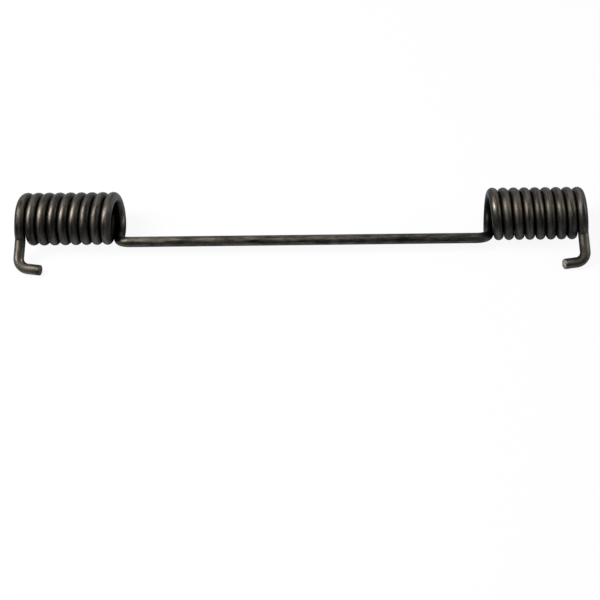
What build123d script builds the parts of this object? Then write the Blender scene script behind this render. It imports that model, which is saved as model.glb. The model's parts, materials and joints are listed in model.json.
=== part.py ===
from build123d import *

import os
from math import asin, atan2, ceil, cos, degrees, hypot, pi, radians, sin, sqrt, tan

# Brake shoe spring: one length of round wire, bent into two coils, a straight run and two
# hooks. The run joins the inner ends of the coils. A short leg with a hook bent inwards
# ends the outer end of each coil. The two halves are mirror images about the run's middle.
#
# The wire is bent in the coils' own frame: X along the coils' common axis with the run's
# middle at X = 0, +Z to the front of the coils, and -Y the way that the legs hang. It is
# then laid down as it comes to rest, on both coils and both hook ends, with +Z up.

# Driving dimensions, in millimetres and degrees
wire_d = 3.8
coil_mean_d = 15.3  # across the middle of the wire
turn_gap = 0.05  # open gap between neighbouring turns
front_turns = 9  # turns that show at the front of each coil
coil_start_angle = 112.8  # past the front, where the run joins the coil
coil_end_angle = 53.5  # past the front, where the last turn leaves for the leg
run_straight = 125.3  # straight part of the run, between its two bends
run_bend_inner_r = 2.6
leg_bend_inner_r = 0.3
leg_straight = 6.2
leg_splay = 5.5  # leans outwards, about as steep as the turns
leg_lean = 0.75  # leans to the front
hook_bend_inner_r = 1.65
hook_straight = 5.05
hook_droop = 7.2  # past square to the coils' axis, so that the hook opens a little
end_chamfer = 0.25  # worn edge of the sheared ends

# Sizes that follow
wire_r = wire_d / 2
coil_r = coil_mean_d / 2
coil_outer_r = coil_r + wire_r
pitch = wire_d + turn_gap
coil_turns = front_turns + (coil_end_angle - coil_start_angle) / 360
coil_length = pitch * coil_turns
run_bend_r = run_bend_inner_r + wire_r
leg_bend_r = leg_bend_inner_r + wire_r
hook_bend_r = hook_bend_inner_r + wire_r


def coil_point(x, angle):
    """Centre of the wire at a place along the axis and an angle past the coil's front."""
    return Vector(x, -coil_r * sin(radians(angle)), coil_r * cos(radians(angle)))


def coil_heading(angle):
    """Direction of the wire in the coil, going outwards."""
    rise = pitch / (2 * pi)
    return Vector(rise, -coil_r * cos(radians(angle)), -coil_r * sin(radians(angle))).normalized()


def bend_reach(before, after, radius):
    """Distance from either end of a bend to the corner where its two headings cross."""
    return radius * tan(radians(before.get_angle(after) / 2))


def straight(start, heading, length):
    """A straight stretch of wire, and its end."""
    end = start + heading * length
    return Line(start, end), end


def bend(start, before, after, radius):
    """The arc that turns the wire from one heading to another, and its end."""
    end = start + (before + after) * bend_reach(before, after, radius)
    return TangentArc(start, end, tangent=before), end


def coil(start_x):
    """The turns of a coil, none longer than one full turn, and the end of the last one."""
    count = ceil(coil_turns)
    length = coil_length / count
    angle = 360 * coil_turns / count
    turn = Helix(pitch, length, coil_r, direction=outwards).rotate(Axis.X, coil_start_angle)
    turns = [turn.rotate(Axis.X, k * angle).translate((start_x + k * length, 0, 0)) for k in range(count)]
    return turns, coil_point(start_x + coil_length, coil_end_angle)


# Headings of the wire, from the middle of the run to the end of a hook
outwards = Vector(1, 0, 0)
into_coil = coil_heading(coil_start_angle)
out_of_coil = coil_heading(coil_end_angle)
along_leg = Vector(0, -1, 0).rotate(Axis.X, -leg_lean).rotate(Axis.Z, leg_splay)
along_hook = Vector(-1, 0, 0).rotate(Axis.Z, hook_droop)

# The run lies where its bend meets the start of the coil
run_bend_reach = bend_reach(outwards, into_coil, run_bend_r)
coil_start_x = run_straight / 2 + run_bend_reach * (1 + into_coil.X)
run_end = coil_point(coil_start_x, coil_start_angle) - (outwards + into_coil) * run_bend_reach

# Centre line of the right half, from the run to the end of its hook. Each turn of the coil
# stays an edge of its own, so that its swept skin is one short face.
run, run_start = straight(run_end, -outwards, run_straight)
run_bend, _ = bend(run_end, outwards, into_coil, run_bend_r)
turns, coil_end = coil(coil_start_x)
leg_bend, leg_start = bend(coil_end, out_of_coil, along_leg, leg_bend_r)
leg, leg_end = straight(leg_start, along_leg, leg_straight)
hook_bend, hook_start = bend(leg_end, along_leg, along_hook, hook_bend_r)
hook, hook_end = straight(hook_start, along_hook, hook_straight)
right_half = [run_bend, *turns, leg_bend, leg, hook_bend, hook]
left_half = [edge.mirror(Plane.YZ) for edge in right_half]
centre_line = Wire([*reversed(right_half), run, *left_half])

# The whole wire, swept from one hook's end to the other
with BuildPart() as bent_wire:
    with BuildSketch(Plane(centre_line @ 0, z_dir=centre_line % 0)):
        Circle(wire_r)
    sweep(path=centre_line, clean=False)
    chamfer(faces().filter_by(GeomType.PLANE).edges(), end_chamfer)

# Tilt about X at which the coils and the hooks' ends touch the same surface. How far the
# wire's skin lies below its centre depends a little on the hook's slope, and so on the
# tilt, so a few rounds settle it.
settling_rounds = 6
hook_touch = hook_end - along_hook * end_chamfer
hook_distance = hypot(hook_touch.Y, hook_touch.Z)
hook_direction = atan2(hook_touch.Z, -hook_touch.Y)


def skin_reach(slope):
    """Reach of the wire's skin from its centre along an axis that the wire slopes along."""
    return wire_r * sqrt(1 - slope**2)


rest_tilt = degrees(hook_direction)
for _ in range(settling_rounds):
    hook_slope = along_hook.rotate(Axis.X, rest_tilt).Z
    drop = coil_outer_r - skin_reach(hook_slope)
    rest_tilt = degrees(hook_direction + asin(drop / hook_distance))

# The spring reaches from the coils' back to the hooks' front. The origin is on the surface
# that it lies on, below the middle of that reach.
hook_front = hook_touch.rotate(Axis.X, rest_tilt).Y - skin_reach(along_hook.rotate(Axis.X, rest_tilt).Y)
axis_y = -(coil_outer_r + hook_front) / 2
axis_z = coil_outer_r

with BuildPart() as spring_wire:
    with Locations(Location((0, axis_y, axis_z), (rest_tilt, 0, 0))):
        add(bent_wire.part, clean=False)

spring_wire.part.label = "spring_wire"

os.makedirs("parts", exist_ok=True)
export_step(spring_wire.part, "parts/spring_wire.step")

print(f"wire length {centre_line.length:.1f}, tilt {rest_tilt:.3f}")
print(f"coil axis at y {axis_y:.3f}, z {axis_z:.3f}, turns from x {coil_start_x:.3f} to {coil_end.X:.3f}")
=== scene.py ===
import json
from math import acos, atan2, ceil, cos, inf, pi, radians, sin, tan

import bpy
import numpy as np
from mathutils import Matrix, Vector


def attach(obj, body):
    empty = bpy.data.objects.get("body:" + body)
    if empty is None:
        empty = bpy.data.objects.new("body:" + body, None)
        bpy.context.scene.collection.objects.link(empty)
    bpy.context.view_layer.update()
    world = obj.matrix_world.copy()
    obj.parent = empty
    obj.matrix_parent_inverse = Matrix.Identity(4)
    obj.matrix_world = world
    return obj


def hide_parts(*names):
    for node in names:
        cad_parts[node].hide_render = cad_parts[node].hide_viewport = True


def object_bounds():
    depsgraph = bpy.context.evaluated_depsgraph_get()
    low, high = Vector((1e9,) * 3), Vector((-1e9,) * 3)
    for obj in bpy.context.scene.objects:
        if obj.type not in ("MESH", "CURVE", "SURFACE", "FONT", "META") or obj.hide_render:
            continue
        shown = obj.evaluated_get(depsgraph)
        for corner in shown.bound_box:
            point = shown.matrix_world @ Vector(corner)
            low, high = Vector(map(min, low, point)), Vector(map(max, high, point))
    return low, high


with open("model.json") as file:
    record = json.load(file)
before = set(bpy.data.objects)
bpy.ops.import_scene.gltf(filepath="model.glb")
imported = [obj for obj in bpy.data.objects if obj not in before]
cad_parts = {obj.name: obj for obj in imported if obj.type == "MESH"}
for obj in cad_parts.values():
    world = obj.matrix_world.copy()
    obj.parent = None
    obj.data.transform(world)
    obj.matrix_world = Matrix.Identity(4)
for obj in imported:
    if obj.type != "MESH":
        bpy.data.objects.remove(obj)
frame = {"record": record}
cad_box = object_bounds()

mm = 0.001

# Sizes of the wire and its bends, in metres and degrees, as in the part's source
wire_r = 1.9 * mm
coil_r = 7.65 * mm  # to the middle of the wire
pitch = 3.85 * mm
front_turns = 9
coil_start_angle = 112.8  # past the front, where the run joins the coil
coil_end_angle = 53.5  # past the front, where the last turn leaves for the leg
run_straight = 125.3 * mm
run_bend_r = 4.5 * mm
leg_bend_r = 2.2 * mm
leg_straight = 6.2 * mm
leg_splay = 5.5
leg_lean = 0.75
hook_bend_r = 3.55 * mm
hook_straight = 5.05 * mm
hook_droop = 7.2
end_rounding = 0.25 * mm

# Sizes that follow
coil_turns = front_turns + (coil_end_angle - coil_start_angle) / 360
coil_length = pitch * coil_turns
coil_outer_r = coil_r + wire_r

# How finely the skin is drawn
around = 40  # points round the wire
rings_per_turn = 92
run_step = 1.5 * mm
hook_step = 0.5 * mm  # in the straight parts of a leg and its hook
bend_step = 0.3 * mm
edge_rings = 5  # over the rounded edge of an end
face_rings = 6  # across the face of an end
round_from = 0.0, 0.3, 1.0  # any way across the left end, to count angles round the wire from

# The flat map of the skin, into which its material can be baked. It is 1 wide and 1 high.
map_strips = 8  # the wire is cut into so many strips, which lie above each other
map_margin = 0.01  # between two strips, and at the sides
map_disc_r = 0.4 * map_margin  # of the face at an end, which lies to the right of the strips
map_disc_heights = 0.25, 0.75

# Small departures from the drawn shape, left and right. The turns of both coils lean the same
# way, so that their backs lie a little to the right of their fronts. They all but touch.
turn_lean = 0.106  # along the coil, for each unit towards the back
side_leans = 0.030, -0.012  # the same for each unit away from the legs
coil_shifts = 0.15 * mm, -0.02 * mm  # of a half of the spring, to the right
end_slants = 9, 14  # degrees, of the cut at a hook's end
slant_up = np.array([0, -0.58, 0.81])  # the way that both cuts are turned

# Each end of the run lies closer to its coil, by this much at the middle of its bend
bend_push = 0.45 * mm
bend_push_reach = 2.6 * mm  # how soon that fades, along the run
bend_push_rise = 8.5 * mm  # and up the first turn
bend_push_depth = 8 * mm  # and into the coil

# The last turn of a coil lies closer to the others, by this much at one of its last rings
end_pushes = 0.30 * mm, 0.0
end_push_ring = 11  # counted from the turn's end
end_push_rise = 5 * mm
end_push_depth = 8.2 * mm

# Turns stray along the coil in two waves. Each has its rate, its share of the coil's phase
# and its height.
turn_wander = 0.015 * mm  # how far a turn strays
wander_scale = 0.6  # brings both waves together to a height of about 1
wander_waves = (0.83, 1.0, 1.0), (0.37, 2.1, 0.7)
wander_phases = 1.3, 4.4

# The wire's width along the coil is fitted to the gaps that this leaves
turn_clearance = 0.003 * mm  # from a turn's skin to half way to its neighbour
thinnest = 0.965  # of the wire, where two turns lean on each other
width_blend = 15  # rings over which a turn's width settles

# The skin is told how far it faces out of the coil, from -1 inside to 1 on a turn's crest
coil_band = 0.3 * mm  # how far from the coil's own radius a wire still counts as in it
crest_elsewhere = 1.0  # what all of the skin counts as, away from the coils

# Colours of the wire
dark_oxide = (0.0250, 0.0228, 0.0196)
brown_oxide = (0.0640, 0.0545, 0.0415)
grey_oxide = (0.0440, 0.0440, 0.0440)
# Painted shade for the grooves between turns, where the neighbouring turns shade the wire
groove_painted_shade = (0.0150, 0.0136, 0.0122)
# Painted shade for the inside of the coils, where little light reaches
coil_inside_painted_shade = (0.0060, 0.0055, 0.0050)
rubbed_steel = (0.285, 0.247, 0.198)
# Bare steel of the cut ends: a copy painted in shade for the left end, a middle tone for both, and
# a copy painted lit for the right end
cut_painted_shade = (0.060, 0.050, 0.041)
cut_dull = (0.190, 0.166, 0.138)
cut_painted_light = (0.60, 0.56, 0.50)

# Noises of its skin: how many millimetres a patch measures across the wire and along it,
# then the detail, the roughness and a shift that makes each noise its own
streak_noise = 0.42, 16, 4, 0.65, 0.0
hair_noise = 0.09, 5, 2, 0.5, 3.1
mottle_noise = 1.5, 6, 5, 0.62, 7.7
cloud_noise = 5, 22, 2, 0.5, 11.3
grain_noise = 0.4, 0.6, 4, 0.65, 17.9
torn_noise = 0.4, 0.4, 3, 0.65, 23.1

# How bare the steel is. Each range of a value below counts as 0 to 1, or as the range that
# follows it.
crest_range = 0.72, 1.0
wear_of_crest, wear_of_mottle, wear_of_streaks = 0.16, 0.55, 0.35
wear_range = 0.50, 0.78
most_rubbed = 0.5
scratch_range, scratched_clouds = (0.60, 0.70), (0.42, 0.6)
most_scratched = 0.6
open_range = -0.3, 0.5  # how far the skin faces out of the coil where wear begins, and is full
flecks_of_grain, flecks_of_streaks = 0.6, 0.4
fleck_range = 0.40, 0.56, 0.35, 1.0
edge_from, edge_to = (0.05, 0.3), (0.95, 0.7)  # across the rounded edge of an end
edge_mottle = 0.35, 0.6, 0.2, 0.9
place_fade = 1.0, 0.4  # the share of a worn place's size at which it ends, and is full

# Which oxide shows, and where shade is painted: in the grooves between turns and inside the coils
patch_of_mottle, patch_of_grain = 0.5, 0.5
patch_range = 0.39, 0.62
grey_clouds, most_grey = (0.4, 0.65), 0.4
# Painted shade towards the grooves: where the skin faces out of the coil from 1 to 0.5, it takes up
# to 0.4 of the groove colour
groove_shade_range = 1.0, 0.5, 0.0, 0.4
# Painted shade inside the coils: where the skin faces in from 0.1 to -0.5, it takes up to 0.8 of
# that colour
inside_shade_range = 0.1, -0.5, 0.0, 0.8
cut_range = 0.6, 1.0
torn_range = 0.42, 0.58

# Roughness of the skin, and the height of its relief
roughness_of_mottle = 0.3, 0.7, 0.38, 0.50
roughness_of_streaks = 0.3, 0.7, -0.05, 0.05
less_rough_bare, rougher_cut, rougher_dull = 0.12, 0.2, 0.2
height_of_streaks, height_of_hair, height_of_mottle, height_of_grain = 0.5, 0.15, 0.9, 0.22
height_of_torn = 2.0
relief = 0.02 * mm

# Places on the wire as if it were unbent, in millimetres: across it both ways, and along it
# from the left end. Each comes with its size, and a worn place also with how bare it is.
worn_places = (
    ((1.9, 0.0, 615.0), (1.2, 1.0, 3.6), 0.45),  # inner turn of the right coil
    ((0.7, 1.6, 421), (1.7, 1.7, 9), 0.35),  # side of the left coil's inner turn
    ((-0.9, 1.5, 429), (2.5, 2.2, 14), 0.5),  # the same turn's inside, at the back
    ((0, 0, 6.0), (8, 8, 7), 0.7),  # left hook
    ((-2.0, -0.4, 1021), (2.4, 2.2, 16), 0.35),  # outside of the right hook's bend
    ((0, 0, 452), (8, 8, 7), 0.25),  # left end of the run
)
dull_place = (0, -2.2, 1021), (2.6, 2.6, 6)  # inside of the right hook's bend
# The right end's face, which gets the cut colour painted lit
painted_lit_end = (0.2, -1.2, 1030), (3.4, 3.4, 10)

# The studio, in metres. The metal mirrors it bright at the back and dim in front.
floor_half = 3
floor_glow = 0.92
paper_white = (0.9, 0.9, 0.9)
mirrored_paper = (0.53, 0.57, 0.65)
mirrored_paper_in_front = (0.145, 0.160, 0.184)
bright_floor_side = (0.08, 1, 0)
bright_floor_range = -0.0368, -0.0148  # where the floor starts to brighten, and is brightest
world_white = (1, 1, 1)
world_light = (0.2, 0.2, 0.2)
bright_sky = (0.80, 0.84, 0.88)
dim_sky = (0.115, 0.123, 0.131)
bright_sky_side = (0, 1, 0)
bright_sky_range = -0.6, 0.4
lamps = (  # name, direction from the spring, distance, width, height and power in watts
    ("key", (-0.68, -0.06, 0.73), 0.7, 0.34, 0.5, 6.6),
    ("side", (0.88, 0, 0.47), 0.7, 0.25, 0.3, 0.9),
)

# The camera that took the photograph
photo_width = 600  # in pixels
camera_focal = 1218.808  # in the photograph's pixels
camera_sensor = 36  # in millimetres
camera_azimuth, camera_elevation, camera_roll = -1.182, 55.436, 0.272  # in degrees
camera_place = (-0.006253, -0.270746, 0.356102)


def unit(vector):
    return vector / np.linalg.norm(vector)


def unit_rows(vectors):
    """Each row at length 1, or near 0 where it has no length."""
    no_length = 1e-9
    return vectors / np.maximum(np.linalg.norm(vectors, axis=1), no_length)[:, None]


def turned_about(axis, vector, angle):
    """A vector turned about X, Y or Z, in degrees."""
    return np.array(Matrix.Rotation(radians(angle), 3, axis)) @ vector


def coil_heading(angle):
    """Direction of the wire in the coil, going outwards."""
    a = radians(angle)
    return unit(np.array([pitch / (2 * pi), -coil_r * cos(a), -coil_r * sin(a)]))


# Headings of the wire's right half, and a point on the axis of the coils as the spring lies
outwards = np.array([1.0, 0.0, 0.0])
into_coil = coil_heading(coil_start_angle)
out_of_coil = coil_heading(coil_end_angle)
hanging = np.array([0.0, -1.0, 0.0])
along_leg = turned_about("Z", turned_about("X", hanging, -leg_lean), leg_splay)
along_hook = turned_about("Z", -outwards, hook_droop)
axis_point = np.array([0, cad_box[1][1] - coil_outer_r, coil_outer_r])


def straight(start, heading, length, step):
    """Points along a straight stretch, without its end, and the end."""
    count = ceil(length / step)
    places = np.linspace(0, length, count, endpoint=False)[:, None]
    return start + places * heading, start + length * heading


def bend(start, before, after, radius):
    """Points round an arc from one heading to another, without its end, and the end."""
    angle = acos(before @ after)
    inwards = unit(after - before * (before @ after))
    a = np.linspace(0, angle, ceil(angle * radius / bend_step) + 1)[:, None]
    points = start + radius * (np.sin(a) * before + (1 - np.cos(a)) * inwards)
    return points[:-1], points[-1]


def coil(start_x, phase):
    """Points round the turns, without the end, and the end. The turns stray from an even pitch."""
    count = round(coil_turns * rings_per_turn)
    done = np.linspace(0, 1, count + 1)
    turned = done * coil_turns * 2 * pi
    angle = turned + radians(coil_start_angle)
    stray = sum(height * np.sin(rate * turned + share * phase)
                for rate, share, height in wander_waves)
    ease = np.sin(pi * done) ** 0.5
    x = start_x + coil_length * done + turn_wander * wander_scale * stray * ease
    points = np.stack([x, -coil_r * np.sin(angle), coil_r * np.cos(angle)], axis=1)
    return points[:-1], points[-1]


def ease_in(count):
    """Shares that rise from 0 to 1 over the first half turn of a coil, and then stay."""
    share = np.clip(np.arange(count) / (rings_per_turn / 2), 0, 1)
    return share * share * (3 - 2 * share)


def push_closer(points, centre, size, way, rise, depth, reach=inf):
    """Moves points along X towards the coil that lies that way, by less the further they are from a
    place across the axis, and into the coil or out of it."""
    apart = points - centre
    up = np.hypot(apart[:, 1], apart[:, 2]) / rise
    deep = np.maximum(way * apart[:, 0], 0) / depth
    out = np.minimum(way * apart[:, 0], 0) / reach
    points[:, 0] += way * size * np.exp(-(up ** 2) - out ** 2 - deep)


def half_line(phase, slant, side_lean, end_push):
    """The right half of the centre line, from the end of the run to the end of the hook."""
    reach = run_bend_r * tan(acos(outwards @ into_coil) / 2)
    start_x = run_straight / 2 + reach * (1 + into_coil[0])
    a = radians(coil_start_angle)
    coil_start = np.array([start_x, -coil_r * sin(a), coil_r * cos(a)])
    run_end = coil_start - (outwards + into_coil) * reach
    run_bend, _ = bend(run_end, outwards, into_coil, run_bend_r)
    turns, coil_end = coil(start_x, phase)
    leg_bend, leg_start = bend(coil_end, out_of_coil, along_leg, leg_bend_r)
    leg, leg_end = straight(leg_start, along_leg, leg_straight, hook_step)
    hook_bend, hook_start = bend(leg_end, along_leg, along_hook, hook_bend_r)
    hook_length = hook_straight - end_rounding - wire_r * tan(radians(slant))
    hook, hook_end = straight(hook_start, along_hook, hook_length, hook_step)

    turns[:, 0] += side_lean * (turns[:, 1] - coil_end[1]) * ease_in(len(turns))
    push_closer(turns, turns[-end_push_ring], end_push, -1, end_push_rise, end_push_depth)
    inner = np.concatenate([run_bend, turns])
    middle = run_bend[len(run_bend) // 2]
    push_closer(inner, middle, bend_push, 1, bend_push_rise, bend_push_depth, bend_push_reach)
    return np.concatenate([inner, leg_bend, leg, hook_bend, hook, [hook_end]])


def laid_down(points):
    """The points as the spring comes to rest, tilted as its hooks are in the frame."""
    hook_axis = next(m for m in frame["record"]["mounts"] if m["name"] == "hook_right")["axis"]
    tilt = atan2(-hook_axis[2], -hook_axis[1])
    return points @ np.array(Matrix.Rotation(tilt, 3, "X")).T + axis_point


def centre_line():
    """The wire's centre line from the left hook's end to the right one's."""
    left = half_line(wander_phases[0], end_slants[0], -side_leans[0], end_pushes[0])
    right = half_line(wander_phases[1], end_slants[1], side_leans[1], end_pushes[1])
    left = left[::-1] * np.array([-1, 1, 1])
    left[:, 0] += coil_shifts[0]
    right[:, 0] += coil_shifts[1]
    run, _ = straight(left[-1], outwards, right[0][0] - left[-1][0], run_step)
    points = np.concatenate([left, run[1:], right])
    points[:, 0] += turn_lean * (points[-1, 2] - points[:, 2])
    return laid_down(points)


def across(points):
    """Headings along a line, with two directions square to each that never twist about it."""
    headings = np.gradient(points, axis=0)
    headings /= np.linalg.norm(headings, axis=1)[:, None]
    side = unit(np.cross(headings[0], round_from))
    sides = []
    for heading in headings:
        side = unit(side - heading * (heading @ side))
        sides.append(side)
    sides = np.array(sides)
    return headings, sides, np.cross(headings, sides)


def turn_gaps(points, headings):
    """Distance at each point from the centre line of the nearest neighbouring turn."""
    gaps = np.full(len(points), np.inf)
    nearby = np.arange(-rings_per_turn // 3, rings_per_turn // 3)
    for way in (-1, 1):
        for i in range(len(points)):
            others = i + way * rings_per_turn + nearby
            others = others[(others >= 0) & (others < len(points))]
            if len(others):
                apart = points[others] - points[i]
                nearest = np.argmin(np.linalg.norm(apart, axis=1))
                apart, heading = apart[nearest], headings[others[nearest]]
                gaps[i] = min(gaps[i], np.linalg.norm(apart - heading * (apart @ heading)))
    return gaps


def half_widths(gaps):
    """Half of the wire's width along the coil, so that no turn reaches into the next one."""
    raw = np.where(gaps < pitch + turn_wander, gaps / 2 - turn_clearance, wire_r)
    raw = np.maximum(raw, thinnest * wire_r)
    windows = np.lib.stride_tricks.sliding_window_view
    least = windows(np.pad(raw, width_blend - 1, mode="edge"), width_blend).min(axis=1)
    return windows(least, width_blend).mean(axis=1)


def wire_rings(point_count):
    """The rings of the skin, from one end's face to the other's: the point of the centre line that
    each belongs to, how far beyond it the ring lies, its radius, and its share in a cut, which is
    below 0 at the left end."""
    flat_r = wire_r - end_rounding
    corner = [(end_rounding * sin(a), flat_r + end_rounding * cos(a), sin(a))
              for a in np.linspace(0, pi / 2, edge_rings + 1)[1:]]
    face = [(end_rounding, flat_r * (1 - k / face_rings), 1.0) for k in range(1, face_rings)]
    first = [(0, -beyond, radius, -cut) for beyond, radius, cut in corner + face]
    middle = [(i, 0.0, wire_r, 0.0) for i in range(point_count)]
    last = [(point_count - 1, beyond, radius, cut) for beyond, radius, cut in corner + face]
    rings = np.array(first[::-1] + middle + last)
    return rings[:, 0].astype(int), rings[:, 1:2], rings[:, 2:3], rings[:, 3:4]


def faces_out(points, spokes):
    """How far the skin faces out of the coil along each spoke of the rings about some points."""
    radial = (points - axis_point) * np.array([0, 1, 1])
    in_coil = np.exp(-(((np.linalg.norm(radial, axis=1) - coil_r) / coil_band) ** 2))
    outward = (spokes @ unit_rows(radial)[:, :, None])[..., 0]
    return crest_elsewhere + (outward - crest_elsewhere) * in_coil[:, None]


def wire_skin():
    """The skin of the whole wire, and what the material reads at each point: the same point on the
    unbent wire, how far it faces out of its coil, and its share in a cut."""
    line = centre_line()
    headings, sides, ups = across(line)
    lengths = np.concatenate([[0], np.cumsum(np.linalg.norm(np.diff(line, axis=0), axis=1))])
    swell = half_widths(turn_gaps(line, headings)) / wire_r - 1

    index, beyond, radius, cut = wire_rings(len(line))
    points, headings, swell = line[index], headings[index], swell[index][:, None]
    angles = np.arange(around) / around * 2 * pi
    circle = np.stack([np.cos(angles), np.sin(angles)], axis=1)
    sides, ups = sides[index][:, None, :], ups[index][:, None, :]
    spokes = circle[None, :, :1] * sides + circle[None, :, 1:] * ups
    along_coil = unit_rows(outwards - headings * headings[:, :1])
    wider = swell * (spokes @ along_coil[:, :, None])[..., 0]
    spokes += wider[..., None] * along_coil[:, None, :]

    left_slant, right_slant = (tan(radians(slant)) for slant in end_slants)
    slant = np.where(cut < 0, left_slant, right_slant)
    lowered = (radius * (spokes @ slant_up))[..., None] * (slant * abs(cut))[..., None]
    lowered = np.sign(cut)[..., None] * lowered * headings[:, None, :]
    skin = (points + beyond * headings)[:, None, :] + radius[..., None] * spokes - lowered
    along_wire = (lengths[index][:, None] + beyond)[..., None]
    along_wire = np.broadcast_to(along_wire, (len(index), around, 1))
    place = np.concatenate([circle * radius[..., None], along_wire], axis=2)
    return skin, place, faces_out(points, spokes), np.broadcast_to(abs(cut), skin.shape[:2])


def quads(row_count):
    """Faces between neighbouring rings, and one to close each end."""
    i = np.arange(row_count - 1)[:, None] * around
    j = np.arange(around)[None, :]
    k = (j + 1) % around
    faces = np.stack([i + j, i + k, i + around + k, i + around + j], axis=-1).reshape(-1, 4)
    first = list(reversed(range(around)))
    last = [(row_count - 1) * around + n for n in range(around)]
    return faces.tolist() + [first, last]


def bake_map(place):
    """Where each face corner lies in the flat map: strips of wire, and a disc for each end."""
    steps = np.linalg.norm(np.diff(place[:, 0], axis=0), axis=1)
    done = np.concatenate([[0], np.cumsum(steps)])
    strip = np.minimum(map_strips * done[:-1] / done[-1], map_strips - 1).astype(int)
    starts = np.array([done[:-1][strip == k][0] for k in range(map_strips)])
    scale = (1 - 3 * map_margin) / np.max(np.append(starts[1:], done[-1]) - starts)
    near, far = (map_margin + scale * (ends - starts[strip]) for ends in (done[:-1], done[1:]))
    margins = map_margin * map_strips
    height = (np.arange(around + 1) / around * (1 - margins) + margins / 2) / map_strips
    low, high = (strip[:, None] / map_strips + h[None, :] for h in (height[:-1], height[1:]))
    near, far = (np.broadcast_to(side[:, None], low.shape) for side in (near, far))
    sides = np.stack([near, low, near, high, far, high, far, low], axis=-1).reshape(-1, 2)
    turn = np.arange(around) / around * 2 * pi
    disc = map_disc_r * np.stack([np.cos(turn), np.sin(turn)], axis=1)
    first = disc[::-1] + [1 - map_margin, map_disc_heights[0]]
    last = disc + [1 - map_margin, map_disc_heights[1]]
    return np.concatenate([sides, first, last])


def make_spring():
    skin, place, outward, cut = wire_skin()
    mesh = bpy.data.meshes.new("spring")
    mesh.from_pydata(skin.reshape(-1, 3).tolist(), [], quads(len(skin)))
    mesh.shade_smooth()
    corners = bake_map(place).ravel().astype(np.float32)
    mesh.uv_layers.new(name="OFBake").data.foreach_set("uv", corners)
    unbent = mesh.attributes.new("unbent", "FLOAT_VECTOR", "POINT")
    unbent.data.foreach_set("vector", (place / mm).ravel().astype(np.float32))
    for name, values in (("outward", outward), ("cut", cut)):
        layer = mesh.attributes.new(name, "FLOAT", "POINT")
        layer.data.foreach_set("value", values.ravel().astype(np.float32))
    spring = bpy.data.objects.new("spring", mesh)
    bpy.context.scene.collection.objects.link(spring)
    return spring


def add_node(tree, kind, inputs=(), **settings):
    """A shader node with its settings, and with its inputs set to values or joined to sockets."""
    made = tree.nodes.new("ShaderNode" + kind)
    for name, value in settings.items():
        setattr(made, name, value)
    for name, value in dict(inputs).items():
        if isinstance(value, bpy.types.NodeSocket):
            tree.links.new(value, made.inputs[name])
        else:
            made.inputs[name].default_value = value
    return made


def blend(tree, share, a, b):
    """A colour between two, each one given as numbers or as a socket."""
    made = add_node(tree, "Mix", {0: share}, data_type="RGBA")
    for index, colour in ((6, a), (7, b)):
        if isinstance(colour, bpy.types.NodeSocket):
            tree.links.new(colour, made.inputs[index])
        else:
            made.inputs[index].default_value = (*colour, 1)
    return made.outputs[2]


def fit(tree, value, low, high, to_low=0.0, to_high=1.0):
    """A value's range brought to another range, smoothly and no further."""
    return add_node(tree, "MapRange", {0: value, 1: low, 2: high, 3: to_low, 4: to_high},
                    interpolation_type="SMOOTHSTEP").outputs[0]


class SteelNodes:
    """Short ways to write the nodes of the wire's material."""

    def __init__(self, tree):
        self.tree = tree
        self.place = self.read("unbent", "Vector")

    def read(self, name, output="Fac"):
        """What the mesh holds under a name."""
        return add_node(self.tree, "Attribute", attribute_name=name).outputs[output]

    def math(self, operation, a, b):
        return add_node(self.tree, "Math", {0: a, 1: b}, operation=operation).outputs[0]

    def sum(self, *parts):
        """The sum of some values, each one times its weight."""
        total, *others = (self.math("MULTIPLY", value, weight) for value, weight in parts)
        for other in others:
            total = self.math("ADD", total, other)
        return total

    def noise(self, size, length, detail, roughness, shift):
        """Noise whose patches are so many millimetres across the wire and along it."""
        stretched = add_node(
            self.tree, "VectorMath",
            {0: self.place, 1: (1 / size, 1 / size, 1 / length),
             2: (shift, 2 * shift, 3 * shift)}, operation="MULTIPLY_ADD")
        made = add_node(self.tree, "TexNoise", {
            "Vector": stretched.outputs[0], "Scale": 1.0, "Detail": detail, "Roughness": roughness})
        return made.outputs[0]

    def near(self, centre, size):
        """1 at a place on the wire, falling to 0 so many millimetres from it each way."""
        offset = add_node(self.tree, "VectorMath", {0: self.place, 1: centre}, operation="SUBTRACT")
        share = add_node(self.tree, "VectorMath", {0: offset.outputs[0], 1: size},
                         operation="DIVIDE")
        distance = add_node(self.tree, "VectorMath", {0: share.outputs[0]}, operation="LENGTH")
        return self.fit(distance.outputs["Value"], *place_fade)

    def fit(self, value, *limits):
        return fit(self.tree, value, *limits)

    def blend(self, share, a, b):
        return blend(self.tree, share, a, b)


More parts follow.
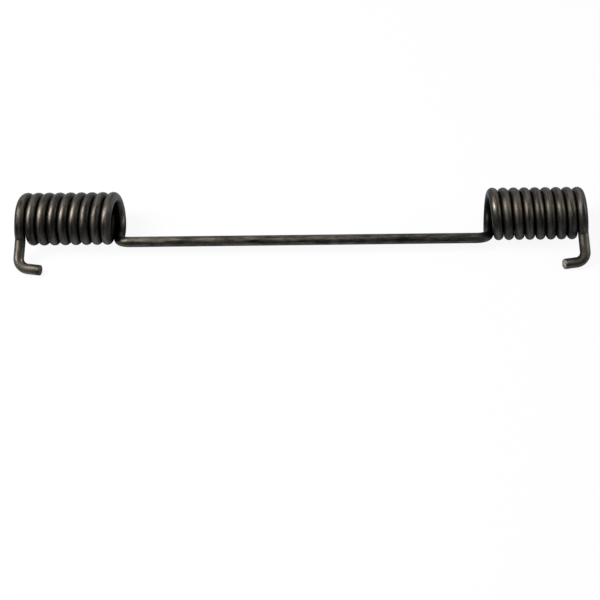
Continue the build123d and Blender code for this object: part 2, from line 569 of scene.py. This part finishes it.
def bare_share(steel, streaks, hair, mottle, clouds, grain, dull):
    """How bare the steel is: on the crests of the turns and in scratches, but not inside the coils,
    and then at the worn places and on the rounded edges of the ends."""
    outward, cut = steel.read("outward"), steel.read("cut")
    crest = steel.fit(outward, *crest_range)
    wear = steel.sum((crest, wear_of_crest), (mottle, wear_of_mottle), (streaks, wear_of_streaks))
    rubbed = steel.math("MULTIPLY", steel.fit(wear, *wear_range), most_rubbed)
    scratch = steel.math("MULTIPLY", steel.fit(hair, *scratch_range),
                         steel.fit(clouds, *scratched_clouds))
    bare = steel.math("MAXIMUM", rubbed, steel.math("MULTIPLY", scratch, most_scratched))
    bare = steel.math("MULTIPLY", bare, steel.fit(outward, *open_range))
    flecks = steel.sum((grain, flecks_of_grain), (streaks, flecks_of_streaks))
    flecks = steel.fit(flecks, *fleck_range)
    for centre, size, how_bare in worn_places:
        patch = steel.math("MULTIPLY", steel.near(centre, size), how_bare)
        bare = steel.math("MAXIMUM", bare, steel.math("MULTIPLY", patch, flecks))
    bare = steel.math("MULTIPLY", bare, steel.math("SUBTRACT", 1.0, dull))
    edge = steel.math("MULTIPLY", steel.fit(cut, *edge_from), steel.fit(cut, *edge_to))
    edge = steel.math("MULTIPLY", edge, steel.fit(mottle, *edge_mottle))
    return steel.math("MAXIMUM", bare, edge)


def skin_colour(steel, mottle, clouds, grain, bare):
    """Mottled oxide with painted shade, darkest in the grooves and inside the coils, and steel
    where it is bare.
    """
    outward = steel.read("outward")
    patches = steel.sum((mottle, patch_of_mottle), (grain, patch_of_grain))
    skin = steel.blend(steel.fit(patches, *patch_range), dark_oxide, brown_oxide)
    grey = steel.math("MULTIPLY", steel.fit(clouds, *grey_clouds), most_grey)
    skin = steel.blend(grey, skin, grey_oxide)
    # Painted shade: darker towards the grooves between turns
    skin = steel.blend(steel.fit(outward, *groove_shade_range), skin, groove_painted_shade)
    # Painted shade: near black where the skin faces into the coil
    skin = steel.blend(steel.fit(outward, *inside_shade_range), skin, coil_inside_painted_shade)
    return steel.blend(bare, skin, rubbed_steel)


def spring_steel():
    """Hardened wire with a dark, mottled skin, drawn streaks, rubbed crests and bare cut ends,
    whose faces are painted in shade at the left end and painted lit at the right end.
    """
    material = bpy.data.materials.new("spring_steel")
    material.use_nodes = True
    tree = material.node_tree
    shader = tree.nodes["Principled BSDF"]
    steel = SteelNodes(tree)

    streaks = steel.noise(*streak_noise)
    hair = steel.noise(*hair_noise)
    mottle = steel.noise(*mottle_noise)
    clouds = steel.noise(*cloud_noise)
    grain = steel.noise(*grain_noise)
    dull = steel.near(*dull_place)
    bare = bare_share(steel, streaks, hair, mottle, clouds, grain, dull)
    skin = skin_colour(steel, mottle, clouds, grain, bare)

    cut = steel.fit(steel.read("cut"), *cut_range)
    torn = steel.fit(steel.noise(*torn_noise), *torn_range)
    # Painted light and shade: the left end's face is darker and the right end's brighter, as if one
    # faced away from the key lamp and the other towards it
    left_cut_in_painted_shade = steel.blend(torn, cut_painted_shade, cut_dull)
    right_cut_painted_lit = steel.blend(torn, cut_dull, cut_painted_light)
    cut_skin = steel.blend(steel.near(*painted_lit_end), left_cut_in_painted_shade, right_cut_painted_lit)
    tree.links.new(steel.blend(cut, skin, cut_skin), shader.inputs["Base Color"])

    roughness = steel.math("ADD", steel.fit(mottle, *roughness_of_mottle),
                           steel.fit(streaks, *roughness_of_streaks))
    roughness = steel.math("SUBTRACT", roughness, steel.math("MULTIPLY", bare, less_rough_bare))
    roughness = steel.math("ADD", roughness, steel.math("MULTIPLY", cut, rougher_cut))
    roughness = steel.math("ADD", roughness, steel.math("MULTIPLY", dull, rougher_dull))
    tree.links.new(roughness, shader.inputs["Roughness"])

    torn_face = steel.math("MULTIPLY", torn, cut)
    height = steel.sum((streaks, height_of_streaks), (hair, height_of_hair),
                       (mottle, height_of_mottle), (grain, height_of_grain),
                       (torn_face, height_of_torn))
    bump = add_node(tree, "Bump", {"Strength": 1.0, "Distance": relief, "Height": height})
    tree.links.new(bump.outputs[0], shader.inputs["Normal"])
    shader.inputs["Metallic"].default_value = 1
    return material


def seen_straight_on(tree):
    """1 for what the camera sees, also through glass, and 0 for mirrored and scattered light."""
    path = add_node(tree, "LightPath")
    ways = {0: path.outputs["Is Camera Ray"], 1: path.outputs["Is Transmission Ray"]}
    return add_node(tree, "Math", ways, operation="MAXIMUM").outputs[0]


def by_ray(tree, seen, mirrored, light):
    """One colour for what is seen, one for what the metal mirrors, and one for the light given."""
    path = add_node(tree, "LightPath")
    unseen = blend(tree, path.outputs["Is Glossy Ray"], light, mirrored)
    return blend(tree, seen_straight_on(tree), unseen, seen)


def along(tree, vector, way):
    """How far a vector goes one way."""
    made = add_node(tree, "VectorMath", {0: vector, 1: way}, operation="DOT_PRODUCT")
    return made.outputs["Value"]


def make_floor():
    half = floor_half
    mesh = bpy.data.meshes.new("floor")
    corners = [(-half, -half, 0), (half, -half, 0), (half, half, 0), (-half, half, 0)]
    mesh.from_pydata(corners, [], [(0, 1, 2, 3)])
    floor = bpy.data.objects.new("floor", mesh)
    bpy.context.scene.collection.objects.link(floor)
    material = bpy.data.materials.new("floor")
    material.use_nodes = True
    tree = material.node_tree
    tree.nodes.clear()
    place = add_node(tree, "NewGeometry").outputs["Position"]
    share = fit(tree, along(tree, place, bright_floor_side), *bright_floor_range)
    mirrored = blend(tree, share, mirrored_paper_in_front, mirrored_paper)
    colour = by_ray(tree, paper_white, mirrored, paper_white)
    paper = add_node(tree, "BsdfDiffuse", {"Color": colour})
    glow = add_node(tree, "Emission")
    share = add_node(tree, "Math", {0: seen_straight_on(tree), 1: floor_glow}, operation="MULTIPLY")
    mix = add_node(tree, "MixShader",
                   {0: share.outputs[0], 1: paper.outputs[0], 2: glow.outputs[0]})
    add_node(tree, "OutputMaterial", {"Surface": mix.outputs[0]})
    mesh.materials.append(material)


def light_world():
    """A white studio. The metal mirrors it bright at the back, and dim where the camera stands."""
    world = bpy.data.worlds.new("studio")
    bpy.context.scene.world = world
    world.use_nodes = True
    tree = world.node_tree
    way = add_node(tree, "TexCoord").outputs["Generated"]
    share = fit(tree, along(tree, way, bright_sky_side), *bright_sky_range)
    mirrored = blend(tree, share, dim_sky, bright_sky)
    background = tree.nodes["Background"]
    tree.links.new(by_ray(tree, world_white, mirrored, world_light), background.inputs["Color"])


def add_lamp(name, direction, distance, width, height, power):
    """An area lamp that points at the spring from a direction."""
    data = bpy.data.lights.new(name, "AREA")
    data.shape = "RECTANGLE"
    data.size = width
    data.size_y = height
    data.energy = power
    lamp = bpy.data.objects.new(name, data)
    bpy.context.scene.collection.objects.link(lamp)
    way = Vector(direction).normalized()
    lamp.location = way * distance
    lamp.rotation_euler = way.to_track_quat("Z", "Y").to_euler()


def add_camera():
    data = bpy.data.cameras.new("camera")
    data.sensor_width = camera_sensor
    data.lens = camera_sensor * camera_focal / photo_width
    camera = bpy.data.objects.new("camera", data)
    bpy.context.scene.collection.objects.link(camera)
    az, el, ro = radians(camera_azimuth), radians(camera_elevation), radians(camera_roll)
    back = Vector((sin(az) * cos(el), -cos(az) * cos(el), sin(el)))
    right = Vector((0, 0, 1)).cross(back).normalized()
    up = back.cross(right)
    turned_right = cos(ro) * right + sin(ro) * up
    turned_up = -sin(ro) * right + cos(ro) * up
    camera.matrix_world = Matrix.Translation(Vector(camera_place)) @ Matrix(
        (turned_right, turned_up, back)).transposed().to_4x4()
    bpy.context.scene.camera = camera


spring = make_spring()
spring.data.materials.append(spring_steel())
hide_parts("spring_wire")
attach(spring, "root")

make_floor()
light_world()
for lamp in lamps:
    add_lamp(*lamp)
add_camera()

bpy.context.scene.view_settings.view_transform = "Standard"
